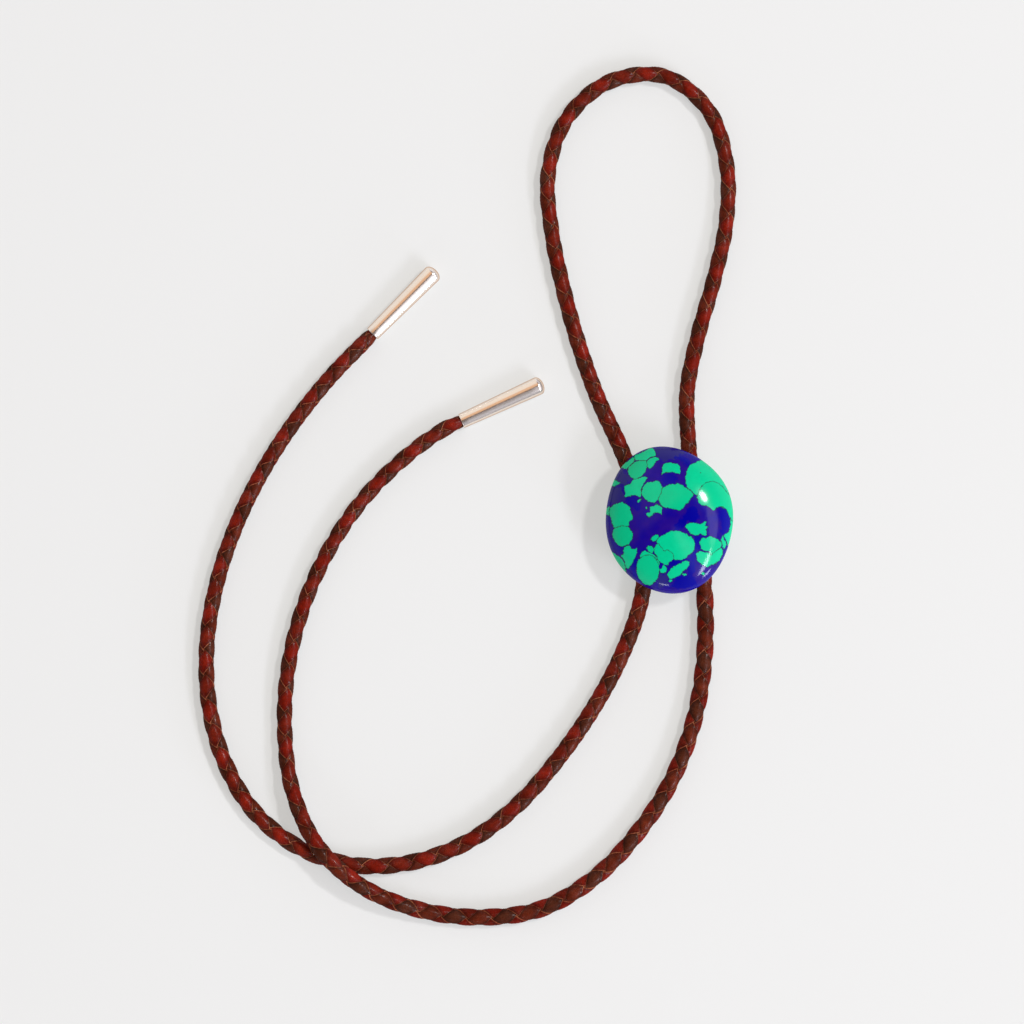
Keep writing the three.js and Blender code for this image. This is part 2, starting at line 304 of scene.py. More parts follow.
# How far the hand-made braid falls behind an even one, in mm
LAG = {
    "neck": {"at": (0, 49, 84, 119, 155, 195, 237), "mm": (3.8, 3.8, 2.9, 3.8, 3.2, 3.9, 3.1)},
    "left": {"at": (0, 52, 101, 131, 162, 221), "mm": (0.6, 1.8, 3.0, 4.5, 6.3, 7.5)},
    "right": {
        "at": (0, 54, 82, 111, 138, 181, 205, 226), "mm": (2.2, 3.3, 3.9, 5.7, 6.2, 8.4, 9.8, 10.4),
    },
}
# The cord's thickness, as a share of the braid's
GIRTH = {
    "neck": {"at": (20, 70, 90, 200, 260), "share": (1.09, 1.05, 1.02, 1.02, 1.06)},
    "left": {"at": (20, 195, 220, 320), "share": (1.08, 1.08, 1.04, 1.02)},
    "right": {"at": (20, 160, 210, 250, 330), "share": (1.11, 1.10, 1.04, 1.01, 1.0)},
}
print("laces", len(LACES), "pitch in mm", BRAID_PITCH / MM)


# %% Sweep the four laces along a line
# Laces narrow to this share of the braid over the last stretch before a tip
SQUEEZED = 0.76
SQUEEZE_RUN = 3.5 * MM


def travel_frame(line):
    """Unit vectors at each point: up from the line, and to the left of travel."""
    along = np.gradient(line, axis=0)
    along /= np.linalg.norm(along, axis=1)[:, None]
    up = np.array((0, 0, 1)) - along * along[:, 2:]
    up /= np.linalg.norm(up, axis=1)[:, None]
    return up, np.cross(up, along)


def lace_points(line, lace, turns, red_side, girth):
    """One lace's surface, a ring of points for each point of the line, and how deep each dips."""
    up, left = travel_frame(line)
    turn = 2 * np.pi * turns[:, None]
    spread = section["across"] * LACE_SPREAD
    crossing = 2 * lace["hand"] * turn + spread
    dip = ((1 - lace["hand"] * np.cos(crossing)) / 2) ** DIVE_SHARPNESS
    radius = (BRAID_RADIUS - section["drop"] * MM - DIVE_DEPTH * dip) * girth[:, None]
    angle = lace["hand"] * turn + lace["start"] + spread + red_side[:, None] - np.pi / 2
    outward = np.cos(angle)[..., None] * up[:, None] + np.sin(angle)[..., None] * left[:, None]
    return line[:, None] + radius[..., None] * outward, dip


def ring_faces(rings, around, first):
    """Faces of a closed body through rings of points, with a cap at each end."""
    faces = []
    for ring in range(rings - 1):
        low = first + ring * around
        for k in range(around):
            after = (k + 1) % around
            faces.append((low + k, low + around + k, low + around + after, low + after))
    last = first + (rings - 1) * around
    faces.append(tuple(range(first, first + around)))
    faces.append(tuple(range(last + around - 1, last - 1, -1)))
    return faces


def along_table(table, places, column):
    """A table's column at places along a stretch."""
    return np.interp(places / MM, table["at"], table[column])


def girth_along(stretch, places, at_tip):
    """The cord's thickness as a share, less where the laces are squeezed into a tip."""
    girth = along_table(GIRTH[stretch], places, "share")
    if at_tip:
        free = np.clip((places[-1] - places - INTO_TIP) / SQUEEZE_RUN, 0, 1)
        girth *= SQUEEZED + (1 - SQUEEZED) * np.sin(free * np.pi / 2)
    return girth


def store(mesh, name, kind, field, values):
    """Keeps a value for each point of a mesh under a name that materials can read."""
    mesh.attributes.new(name, kind, "POINT").data.foreach_set(field, values.ravel())


def make_braid(name, stretch, at_tip):
    """All four laces of a stretch, as one piece."""
    line = LINES[stretch].copy()
    places = np.linspace(0, length_of(line), len(line))
    lag = along_table(LAG[stretch], places, "mm") * MM
    turns = FIRST_TURN[stretch] + (places - lag) / BRAID_PITCH
    red_side = np.radians(along_table(RED_SIDE[stretch], places, "angle"))
    girth = girth_along(stretch, places, at_tip)
    line[:, 2] += np.maximum(BRAID_RADIUS * girth - CORD_RADIUS, 0)
    around = len(LACE_SECTION)
    points, faces, tints, shade_and_wear = [], [], [], []
    for lace in LACES:
        surface, dip = lace_points(line, lace, turns, red_side, girth)
        faces += ring_faces(len(line), around, sum(len(part) for part in points))
        points.append(surface.reshape(-1, 3))
        tints.append(np.tile((*lace["tint"], 1.0), (len(points[-1]), 1)))
        # Painted shade, partly handling wear: each lace is darker towards its edges and where it
        # dips under its neighbours
        shade_and_wear.append(np.maximum(section["shade_and_wear"], np.sqrt(dip)).ravel())
    mesh = bpy.data.meshes.new(name)
    mesh.from_pydata(np.concatenate(points).tolist(), [], faces)
    raw = np.tile(section["raw"], len(mesh.vertices) // around)
    store(mesh, "lace_tint", "FLOAT_COLOR", "color", np.concatenate(tints))
    store(mesh, "raw_edge", "FLOAT", "value", raw)
    store(mesh, "painted_shade_and_wear", "FLOAT", "value", np.concatenate(shade_and_wear))
    mesh.shade_smooth()
    sharpen_lace_edges(mesh, around)
    return placed(name, mesh)


def sharpen_lace_edges(mesh, around):
    """Marks the long corners of each lace sharp, so that its cut edges stay crisp."""
    corners = [i for i, row in enumerate(LACE_SECTION) if row["corner"]]
    ends = np.empty(2 * len(mesh.edges), dtype=int)
    mesh.edges.foreach_get("vertices", ends)
    columns = ends.reshape(-1, 2) % around
    sharp = (columns[:, 0] == columns[:, 1]) & np.isin(columns[:, 0], corners)
    mesh.attributes.new("sharp_edge", "BOOLEAN", "EDGE").data.foreach_set("value", sharp)


BRAIDS = {
    "neck": make_braid("braid_neck_loop", "neck", False),
    "left": make_braid("braid_left_tail", "left", True),
    "right": make_braid("braid_right_tail", "right", True),
}
for piece in BRAIDS.values():
    print(piece.name, "faces", len(piece.data.polygons))

# %% [markdown]
# ## The tips
# A bolo tip is a drawn metal cap, a little wider at its rounded end than at its mouth. It is a
# body of revolution, so a lathe profile makes it: out of the bore, round the thin lip, along the
# flared side and over the end.

# %% Tip profile and mesh
TIP_LENGTH = 25.2 * MM
TIP_MOUTH_RADIUS = 2.1 * MM
TIP_END_RADIUS = 2.55 * MM
TIP_ROUNDING = 1.6 * MM
TIP_WALL = 0.35 * MM
TIP_BORE_DEPTH = 9 * MM
TIP_TILT = math.atan((TIP_END_RADIUS - CORD_RADIUS) / (TIP_LENGTH - TIP_ROUNDING))
AROUND_TIP = 96
LIP_STEPS = 8
SIDE_STEPS = 12
END_STEPS = 24


def tip_profile():
    """(place along the tip, radius) pairs, from the bottom of the bore to the end's middle."""
    bore = TIP_MOUTH_RADIUS - TIP_WALL
    lip = TIP_WALL / 2
    profile = [(TIP_BORE_DEPTH, 0.0), (TIP_BORE_DEPTH, bore), (lip, bore)]
    for step in range(1, LIP_STEPS):
        turn = math.pi * step / LIP_STEPS
        profile.append((lip - lip * math.sin(turn), bore + lip - lip * math.cos(turn)))
    shoulder = TIP_LENGTH - TIP_ROUNDING
    for share in np.linspace(0, 1, SIDE_STEPS, endpoint=False):
        place = lip + share * (shoulder - lip)
        profile.append((place, TIP_MOUTH_RADIUS + share * (TIP_END_RADIUS - TIP_MOUTH_RADIUS)))
    for step in range(END_STEPS):
        turn = math.pi / 2 * step / END_STEPS
        profile.append((shoulder + TIP_ROUNDING * math.sin(turn), TIP_END_RADIUS * math.cos(turn)))
    profile.append((TIP_LENGTH, 0.0))
    return profile


def lathe_mesh(name, profile, around):
    """A closed mesh of revolution about +X."""
    shape = bmesh.new()
    rings = []
    for place, radius in profile:
        if radius == 0:
            rings.append([shape.verts.new((place, 0, 0))])
            continue
        turns = [2 * math.pi * k / around for k in range(around)]
        rings.append([
            shape.verts.new((place, radius * math.cos(t), radius * math.sin(t))) for t in turns
        ])
    for low, high in zip(rings, rings[1:]):
        for k in range(around):
            after = (k + 1) % around
            corners = [low[k % len(low)], low[after % len(low)]]
            corners += [high[after % len(high)], high[k % len(high)]]
            shape.faces.new(list(dict.fromkeys(corners)))
    bmesh.ops.recalc_face_normals(shape, faces=shape.faces)
    mesh = bpy.data.meshes.new(name)
    shape.to_mesh(mesh)
    shape.free()
    mesh.shade_smooth()
    return mesh


def make_tip(tip):
    """A cap lying on the table at its cord's end."""
    name = f"cap_{tip}"
    piece = placed(name, lathe_mesh(name, tip_profile(), AROUND_TIP))
    heading = Matrix.Rotation(math.radians(TIPS[tip]["heading"]), 4, "Z")
    mouth = Vector((*(np.array(TIPS[tip]["mouth"]) * MM), CORD_RADIUS))
    tilt = Matrix.Rotation(-TIP_TILT, 4, "Y")
    piece.data.transform(Matrix.Translation(mouth) @ heading @ tilt)
    return piece


CAPS = {tip: make_tip(tip) for tip in TIPS}
print("tips", [cap.name for cap in CAPS.values()])

# %% [markdown]
# ## The stone
# The stone is a cabochon: a flat back, a narrow girdle and a domed crown, cut to a free egg
# shape. Its outline is an ellipse with a few shallow bulges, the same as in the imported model. The
# mesh is fine, because it also carries the mineral pattern as a number at each vertex.

# %% Stone form
STONE_LENGTH = 41 * MM
STONE_WIDTH = 35.5 * MM
STONE_THICKNESS = 8.8 * MM
STONE_BACK_BEVEL = 1.3 * MM
STONE_BULGES = [
    {"count": 1, "share": 0.013, "facing": 195},
    {"count": 3, "share": 0.010, "facing": 10},
    {"count": 4, "share": 0.015, "facing": 24.5},
]
# Heights are shares of the thickness, and insets shares of the half width
GIRDLE_LOW = 0.13
GIRDLE_HIGH = 0.22
GIRDLE_INSET = 0.003
BEVEL_TOP = {"inset": 0.012, "below_girdle": 0.035}
BACK_EDGE = {"flat": 0.02, "round": 0.01, "rise": 0.006}
STONE_AROUND = 560
STONE_CROWN = 100
stone_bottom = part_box("cabochon")[0].z


def stone_outline():
    """The stone's outline on the table, with the middle of its box at the origin."""
    angle = np.linspace(0, 2 * np.pi, STONE_AROUND, endpoint=False)
    turned = angle - np.pi / 2 - SLIDE_LEAN
    long_half, wide_half = STONE_LENGTH / 2, STONE_WIDTH / 2
    radius = long_half * wide_half / np.hypot(
        wide_half * np.cos(turned), long_half * np.sin(turned)
    )
    bulge = 1 + sum(
        row["share"] * np.cos(row["count"] * (angle - math.radians(row["facing"])))
        for row in STONE_BULGES
    )
    points = np.column_stack((np.cos(angle), np.sin(angle))) * (radius * bulge)[:, None]
    return points - (points.min(0) + points.max(0)) / 2


def stone_rings():
    """(reach, height) pairs from the flat back to near the crown's middle."""
    back = 1 - 2 * STONE_BACK_BEVEL / STONE_WIDTH
    rings = [
        (back - BACK_EDGE["flat"], 0.0),
        (back, 0.0),
        (back + BACK_EDGE["round"], BACK_EDGE["rise"]),
        (1 - BEVEL_TOP["inset"], GIRDLE_LOW - BEVEL_TOP["below_girdle"]),
        (1 - GIRDLE_INSET, GIRDLE_LOW),
    ]
    for turn in np.linspace(0, np.pi / 2, STONE_CROWN, endpoint=False):
        height = GIRDLE_HIGH + (1 - GIRDLE_HIGH) * math.sin(turn)
        rings.append((math.cos(turn), height))
    return rings


def make_stone():
    """The stone's closed mesh, in place on the slide."""
    outline = stone_outline()
    points = [(0.0, 0.0, stone_bottom)]
    rings = stone_rings()
    for reach, height in rings:
        for x, y in outline * reach:
            points.append((x, y, stone_bottom + height * STONE_THICKNESS))
    points.append((0.0, 0.0, stone_bottom + STONE_THICKNESS))
    top = len(points) - 1
    last = top - STONE_AROUND
    faces = []
    for k in range(STONE_AROUND):
        after = (k + 1) % STONE_AROUND
        faces.append((0, 1 + after, 1 + k))
        faces.append((last + k, last + after, top))
        for ring in range(len(rings) - 1):
            low = 1 + ring * STONE_AROUND
            high = low + STONE_AROUND
            faces.append((low + k, low + after, high + after, high + k))
    mesh = bpy.data.meshes.new("polished_stone")
    mesh.from_pydata(points, [], faces)
    mesh.shade_smooth()
    return placed("polished_stone", mesh)


stone = make_stone()
print("stone faces", len(stone.data.polygons))

# %% [markdown]
# ## The mineral pattern
# Rounded green chips lie in a deep blue ground. They are bound in resin, cut and polished, so
# each chip shows a clean outline with a thin dark seam. The chips are charted in millimetres from
# the stone's middle, in three layers: where two chips meet, the one in the later layer lies in
# front. Each layer gives one number at each vertex, the distance to its nearest outline, below
# zero inside a chip. A distance changes evenly across an outline, so the seam stays sharp on a
# mesh that is coarser than the seam is wide.

# %% Chips
BACK, MIDDLE, FRONT = range(3)
CHIPS = {
    "top_left": (BACK, [
        (-10.3, 17.4), (-7.3, 19), (-5, 20.2), (-4, 18.8), (-4.1, 17.8), (-5.5, 17.4),
        (-6.6, 16.4), (-8.3, 16.5), (-9.8, 16.7),
    ]),
    "top_left_sliver": (MIDDLE, [
        (-13.8, 14.6), (-11.7, 16.3), (-9.9, 17.6), (-9.8, 16.5), (-11.3, 14.7), (-12.1, 14.1),
    ]),
    "top_left_round": (FRONT, [
        (-9.7, 16.3), (-8.3, 16.5), (-6.6, 16.3), (-6.5, 14.9), (-6.9, 13.4), (-8, 12),
        (-9.6, 11.5), (-11.1, 12.2), (-11.8, 13.8), (-11.2, 15.2),
    ]),
    "top_small": (MIDDLE, [
        (-6.5, 16.3), (-5.5, 17.2), (-4.4, 17.4), (-3, 17), (-4.2, 15.8), (-5.1, 14.5),
        (-5.9, 14.4), (-6.5, 15.2),
    ]),
    "bridge": (BACK, [
        (-2.3, 12.6), (-2.2, 14.1), (-1.8, 15.7), (-0.6, 16), (1, 15.9), (2.2, 15.5),
        (2.8, 14.5), (2.7, 13), (1.7, 13), (0.8, 13.3), (-0.3, 13.3), (-1.3, 13.1),
    ]),
    "top_right": (BACK, [
        (7.7, 16.3), (5.9, 15.4), (4.8, 13.9), (4.3, 12.1), (4.5, 10.2), (4.8, 9.1), (6, 8),
        (7.3, 6.8), (10.6, 4.9), (18.3, 3.1), (18.3, 7.4), (15.5, 11.5), (12.4, 15.2), (9.5, 17.1),
    ]),
    "right_shoulder": (MIDDLE, [
        (7.4, 6.2), (7.8, 7.6), (8.7, 9.3), (10, 10.3), (11.6, 10.7), (13.5, 10.1), (15.7, 8),
        (18.6, 4.9), (18.6, -0.1), (17.4, -0.2), (16.6, 1), (16, 2.4), (15.3, 3.4), (14.2, 3.7),
        (13.1, 3.5), (12, 2.7), (10.9, 3.4), (9.8, 4), (8.5, 4.5), (7.6, 5.4),
    ]),
    "right_rim": (BACK, [
        (16.7, 1.8), (18.3, 1.8), (18, -3.2), (16.2, -7.2), (15.8, -6.1), (14.9, -4.3),
        (15.9, -3.6), (16.6, -2.2), (16.8, -0.4),
    ]),
    "star": (BACK, [
        (-12.8, 9.5), (-11.3, 10), (-10, 11.3), (-8.4, 11.8), (-7, 12.1), (-6.4, 11.8),
        (-7.5, 9.8), (-8.1, 8.5), (-8, 7.2), (-8.4, 6.3), (-9.3, 6.7), (-10.4, 6.9),
        (-11.5, 6.5), (-12.5, 6.4), (-12.4, 8),
    ]),
    "by_the_star": (MIDDLE, [
        (-6.3, 10.5), (-5, 10.6), (-3.9, 11), (-2.8, 10.4), (-2.2, 8.9), (-2.6, 7.1),
        (-3.4, 5.7), (-4.7, 4.9), (-6.2, 5.2), (-7.4, 6.2), (-7.9, 7.6), (-7.5, 9.3),
    ]),
    "middle_broad": (FRONT, [
        (-2.2, 8.6), (-0.6, 9.6), (0.9, 10), (2.4, 10.2), (3.7, 9.3), (5.3, 8.3), (6.4, 7),
        (5.7, 6), (4.9, 4.7), (4.4, 4.4), (3.4, 3.2), (2.5, 2.6), (1.2, 3), (-0.4, 3.3),
        (-1.9, 3.6), (-2.8, 4.4), (-3.3, 5.8), (-2.7, 7.2),
    ]),
    "middle_small": (MIDDLE, [
        (-5.8, 3.7), (-4.6, 3.9), (-3.7, 4.4), (-2.9, 4), (-2.1, 3.4), (-2.4, 2.6), (-2.4, 1.4),
        (-3, 1.9), (-3.8, 2), (-4.7, 1.7), (-5.8, 0.8), (-6.6, 1.7), (-5.8, 2.2), (-5.7, 3.1),
    ]),
    "left_upper_round": (MIDDLE, [
        (-13.9, 4.9), (-12.4, 4.5), (-11.1, 3.4), (-10.6, 2.1), (-10.5, 0.3), (-11.3, -0.5),
        (-11.7, -1.7), (-13.5, -1.9), (-15.4, -2.2), (-16.1, -0.7), (-16.7, 1.2), (-16.7, 3.1),
        (-15.6, 4.5),
    ]),
    "left_rim": (BACK, [
        (-18.5, 3.4), (-17.6, 3.4), (-16.7, 3.7), (-16.7, 2.4), (-16.9, 1.3), (-17.5, 1.5),
        (-18.5, 1.7),
    ]),
    "left_lower_round": (FRONT, [
        (-13.3, -1.6), (-11.7, -1.9), (-10.9, -2.9), (-10.5, -4.2), (-10.7, -5.5),
        (-11.5, -6.7), (-12.7, -7.2), (-13.5, -7.4), (-14.7, -6.7), (-15.8, -4.9),
        (-15.9, -3.3), (-15, -2.1),
    ]),
    "left_shoulder": (BACK, [
        (-16.7, 9.3), (-16, 11.2), (-15.3, 11.3), (-14.5, 10.8), (-13.8, 10.3), (-14.5, 9.8),
        (-15.6, 9.3),
    ]),
    "ragged": (MIDDLE, [
        (-12.7, -7.5), (-11.5, -7.2), (-10.3, -8.1), (-9.2, -7.7), (-9.2, -9.1), (-9.8, -10.6),
        (-10.5, -12.2), (-11.7, -13.4), (-12.4, -12.5), (-12.7, -11.3), (-13.6, -10),
        (-12.6, -9.2), (-13.2, -8.4),
    ]),
    "lower_left_rim": (BACK, [
        (-16.4, -9), (-14.7, -9.7), (-13.6, -10.3), (-12.7, -11.7), (-12.2, -13.5),
        (-12.1, -15), (-14.2, -14.4), (-16.4, -11),
    ]),
    "low_broad": (BACK, [
        (-0.7, -3.6), (0.7, -2.9), (2.7, -3.1), (4.6, -4), (6.2, -5.1), (7, -6.6), (6.7, -8.1),
        (6.1, -9.1), (5, -9.7), (4.4, -10.5), (2.8, -11), (0.9, -10.8), (-1, -9.4),
        (-2.8, -7.5), (-3.8, -5.6), (-2.9, -4.6), (-1.6, -4.2),
    ]),
    "two_lobes": (MIDDLE, [
        (-4.6, -8.1), (-4.2, -7.2), (-3.3, -6.6), (-2.5, -7.5), (-1.7, -8.4), (-0.7, -8.2),
        (0.5, -9.1), (0.9, -10.3), (0.1, -11.6), (-0.9, -12.3), (-2.2, -12), (-3.4, -10.9),
        (-3.7, -10), (-4.4, -9.2),
    ]),
    "crescent": (BACK, [
        (-8.4, -10.6), (-8.1, -9.2), (-7.2, -8.5), (-6.1, -8.9), (-4.4, -9.6), (-3.1, -11.2),
        (-3, -12.5), (-5.9, -11.9),
    ]),
    "oval": (FRONT, [
        (-6.2, -9.6), (-4.7, -10), (-3.6, -11.3), (-3, -13), (-3.2, -15.3), (-4.1, -17.2),
        (-5.5, -18.2), (-6.8, -18), (-8.3, -16.6), (-9.1, -14.7), (-9.3, -12.5),
        (-8.7, -10.8), (-7.5, -9.9),
    ]),
    "bead": (BACK, [(-1.9, -12.4), (-0.8, -13.6), (-1.9, -14.8), (-3.1, -13.6)]),
    "slanted": (MIDDLE, [
        (-1, -15.3), (-0.3, -14.1), (0.9, -12.9), (2.5, -12), (4, -11.3), (5.2, -11.7),
        (5.1, -12.7), (4.5, -13.7), (3.4, -14.4), (2.5, -15.3), (1.1, -16.1), (-0.3, -16.3),
    ]),
    "right_small": (MIDDLE, [
        (4.2, -2), (5, -0.8), (6.8, -0.9), (8.2, -1), (9.9, -0.4), (9.7, -1.5), (10.5, -1.9),
        (9.8, -2.5), (10.3, -4.2), (9.2, -4.3), (8.5, -3.8), (7.4, -4.3), (5.9, -3.8),
        (5.2, -3.3),
    ]),
    "lower_right": (MIDDLE, [
        (8.1, -6.3), (8.7, -5), (9.9, -4.9), (11.1, -4.3), (12.5, -5), (13.8, -5.8),
        (14.4, -6.8), (13.8, -7.8), (12.5, -8.8), (11.4, -9.5), (10.4, -8.7), (9.3, -8.6),
        (8.4, -7.6),
    ]),
    "lower_right_under": (BACK, [
        (7.1, -9.4), (7.8, -8.8), (9, -8.6), (10.6, -8.9), (12.5, -8.5), (14.4, -7.8),
        (14.7, -9.4), (13.8, -11.1), (12.6, -12.2), (11.3, -12.5), (10.5, -13.2), (9.4, -12.5),
        (8.1, -11.7), (7.3, -10.6),
    ]),
    "cracked_upper": (MIDDLE, [
        (-5.7, -5.6), (-5.2, -4.7), (-4.4, -4.2), (-3.7, -3.9), (-3.2, -4.4), (-3.6, -5.3),
        (-4.7, -6),
    ]),
    "cracked_lower": (FRONT, [
        (-6.8, -7.7), (-5.9, -7.1), (-5.2, -7.2), (-4.6, -8.1), (-5.1, -9), (-6.3, -8.5),
    ]),
    "cracked_rim": (MIDDLE, [
        (14.1, -5.5), (14.6, -4.4), (15.2, -5.5), (15.8, -6.6), (15.2, -7.9), (14.5, -7.4),
    ]),
    "bit_lower_right": (BACK, [(8.5, -14.9), (9.1, -14.4), (9.8, -14.9), (9.1, -15.6)]),
    "bit_bottom": (BACK, [(-0.6, -17), (-0.1, -16.4), (0.6, -16.6), (-0.1, -17.4)]),
    "bit_under_star": (BACK, [(-8.7, 5.9), (-7.9, 6.2), (-8, 5.6), (-8.8, 4.9), (-9.2, 5.2)]),
    "bit_middle": (BACK, [(-6.9, 3.4), (-6.6, 3.8), (-6.3, 3.1), (-6.6, 2.7)]),
    "bit_by_slanted": (BACK, [(3.3, -15.1), (4.1, -14.7), (4.6, -15.2), (3.8, -15.4)]),
}
# Where the ground is a purer blue, with soft borders
PURE_BLUE = [
    [(-2.2, 12.4), (-0.6, 13.3), (1.1, 12.8), (1.7, 11.4), (0.9, 10.2), (-0.6, 9.7), (-2.1, 10.4)],
    [(-11.8, 6.5), (-9, 6.5), (-8.1, 4.9), (-8.7, 3.1), (-10.3, 3.7), (-11.8, 4.9)],
    [(4.3, 3.1), (6.8, 3.4), (7.7, 1.2), (6.8, -0.7), (4.6, -0.5), (3.7, -1.9), (1.5, -2.7),
     (1.8, -1), (3.4, 1.2)],
    [(13.7, 3.1), (15.3, 3.4), (16.5, 1.8), (16.6, -1.9), (15, -4), (14.1, -2.5), (13.9, 0.6)],
    [(7.1, -4.7), (8.2, -4.3), (8.4, -7.5), (7, -9.1), (7.2, -12.5), (6, -15.3), (5, -15.9),
     (5.3, -12.5), (5.9, -10)],
    [(-0.3, -12.5), (1.2, -11.1), (4.3, -10.6), (5.3, -11.2), (2.8, -11.9), (0.3, -13)],
    [(1, -16.6), (4.4, -15.3), (6, -15.6), (8, -18.5), (5.4, -18.8), (-0.2, -18.3)],
    [(-11.1, -12.5), (-9.6, -10.3), (-9.1, -15.6), (-8.6, -16.9), (-10.5, -15.3)],
    [(1.6, 17.4), (3.8, 17.5), (5.7, 16.1), (5, 15.5), (2.8, 16.1)],
]
# Where the ground is clouded, greyer and duller
CLOUDED = [
    [(-14.2, 14.2), (-12.4, 13.2), (-11.3, 11.6), (-12.6, 10.2), (-14.4, 10.8), (-15.6, 12)],
    [(-16.4, 8.8), (-14.4, 9.2), (-13, 7.8), (-13, 5.6), (-15.2, 4.9), (-17, 5.2)],
    [(-4, 19.9), (-0.4, 20.2), (3.6, 18.9), (2.6, 17.6), (0.4, 16.6), (-2.4, 16.9), (-3.9, 18)],
    [(-3.2, -14.8), (-1.6, -15), (-0.6, -16.2), (-1.2, -17.8), (-2.8, -18.3), (-3.7, -16.8)],
]
print("chips", len(CHIPS), "purer patches", len(PURE_BLUE), "clouded patches", len(CLOUDED))

# %% [markdown]
# Each outline is rounded by the same smooth curve as the cord's route. The distance to it is the
# least of the distances to its short straight steps, and a count of crossings tells the inside
# from the outside.

# %% Distances
OUTLINE_SAMPLES = 5


def outline_distance(x, y, outline):
    """How far points lie outside a closed outline, in millimetres, below zero inside it."""
    loop = np.array([*outline[-2:], *outline, *outline[:2]], dtype=float)
    curve = smooth_through(loop, OUTLINE_SAMPLES)[2 * OUTLINE_SAMPLES:-2 * OUTLINE_SAMPLES - 1]
    nearest = np.full_like(x, np.inf)
    inside = np.zeros(len(x), dtype=bool)
    for start, end in zip(curve, np.roll(curve, -1, axis=0)):
        run_x, run_y = end - start
        if run_x == 0 and run_y == 0:
            continue
        off_x, off_y = x - start[0], y - start[1]
        share = np.clip((off_x * run_x + off_y * run_y) / (run_x**2 + run_y**2), 0, 1)
        nearest = np.minimum(nearest, (off_x - share * run_x) ** 2 + (off_y - share * run_y) ** 2)
        if run_y != 0:
            crossed = (start[1] > y) != (end[1] > y)
            inside ^= crossed & (off_x < run_x * off_y / run_y)
    return np.sqrt(nearest) * np.where(inside, -1, 1)


def union_distance(x, y, outlines):
    """The distance to the nearest of several outlines."""
    return np.minimum.reduce([outline_distance(x, y, outline) for outline in outlines])


spots = np.empty(3 * len(stone.data.vertices))
stone.data.vertices.foreach_get("co", spots)
across_stone, up_stone = spots.reshape(-1, 3)[:, :2].T / MM
layers = [[outline for layer, outline in CHIPS.values() if layer == k] for k in range(3)]
FIELDS = ("chips_back", "chips_middle", "chips_front", "pure_blue", "clouded")
for field, outlines in zip(FIELDS, (*layers, PURE_BLUE, CLOUDED)):
    store(stone.data, field, "FLOAT", "value", union_distance(across_stone, up_stone, outlines))
print("fields", FIELDS)

# %% [markdown]
# ## Helpers for materials
# Every finish here is procedural: noise and cell patterns in the row frame's own metres, and the
# numbers stored in the meshes. A small class keeps the node trees short to read. It places a node,
# joins it and hands back its result. Effects that more than one finish needs are node groups.

# %% Node helpers
def new_group(name, inputs, outputs):
    """An empty shader node group. Each socket is given as name, kind and default value."""
    group = bpy.data.node_groups.new(name, "ShaderNodeTree")
    for end, sockets in (("INPUT", inputs), ("OUTPUT", outputs)):
        for socket, kind, value in sockets:
            made = group.interface.new_socket(
                name=socket, in_out=end, socket_type=f"NodeSocket{kind}"
            )
            if value is not None:
                made.default_value = value
    return group


class Tree:
    """A short way to place and join nodes."""

    def __init__(self, tree):
        self.tree = tree

    def set(self, node, socket, value):
        """Joins a socket to an input, or sets the input's own value."""
        target = node.inputs[socket]
        if isinstance(value, bpy.types.NodeSocket):
            self.tree.links.new(value, target)
        else:
            target.default_value = value

    def add(self, kind, settings=None, **values):
        """A node of that kind. Values go to its inputs by name, as numbers or as sockets."""
        node = self.tree.nodes.new(f"ShaderNode{kind}")
        for key, value in (settings or {}).items():
            setattr(node, key, value)
        for key, value in values.items():
            self.set(node, key.replace("_", " "), value)
        return node

    def ends(self):
        """A group's own input and output nodes."""
        return [self.tree.nodes.new(f"NodeGroup{end}") for end in ("Input", "Output")]

    def math(self, operation, *values):
        """A Math node's result."""
        node = self.tree.nodes.new("ShaderNodeMath")
        node.operation = operation
        for k, value in enumerate(values):
            self.set(node, k, value)
        return node.outputs[0]

    def less(self, value):
        """1 minus a value."""
        return self.math("SUBTRACT", 1.0, value)

    def times(self, first, second):
        """The product of two values."""
        return self.math("MULTIPLY", first, second)

    def between(self, value, start, end):
        """An even run from start to end as a value goes from 0 to 1."""
        return self.math("MULTIPLY_ADD", value, end - start, start)

    def mix(self, factor, low, high, blend="MIX"):
        """A colour mix's result."""
        node = self.tree.nodes.new("ShaderNodeMix")
        node.data_type = "RGBA"
        node.blend_type = blend
        for socket, value in (("Factor", factor), (6, low), (7, high)):
            self.set(node, socket, value)
        return node.outputs[2]

    def smooth(self, value, low, high):
        """0 below low, 1 above high, and smooth between."""
        node = self.tree.nodes.new("ShaderNodeMapRange")
        node.interpolation_type = "SMOOTHSTEP"
        for socket, number in (("Value", value), ("From Min", low), ("From Max", high)):
            self.set(node, socket, number)
        return node.outputs[0]

    def attribute(self, name, output):
        """What a mesh attribute holds."""
        node = self.tree.nodes.new("ShaderNodeAttribute")
        node.attribute_name = name
        return node.outputs[output]

    def position(self):
        """A point's place in the row frame, in metres."""
        return self.tree.nodes.new("ShaderNodeTexCoord").outputs["Object"]

    def group(self, group, **values):
        """A placed node group's first result."""
        return self.add("Group", {"node_tree": group}, **values).outputs[0]


def new_material(name):
    """A material, its tree, and the Principled shader that ends it."""
    material = bpy.data.materials.new(name)
    material.use_nodes = True
    return material, Tree(material.node_tree), material.node_tree.nodes["Principled BSDF"]


def settle(shader, constants):
    """Sets a shader's inputs that stay the same all over."""
    for socket, value in constants.items():
        shader.inputs[socket].default_value = value


def colour(red, green, blue):
    """An opaque colour in linear light."""
    return (red, green, blue, 1.0)


print("node helpers ready")

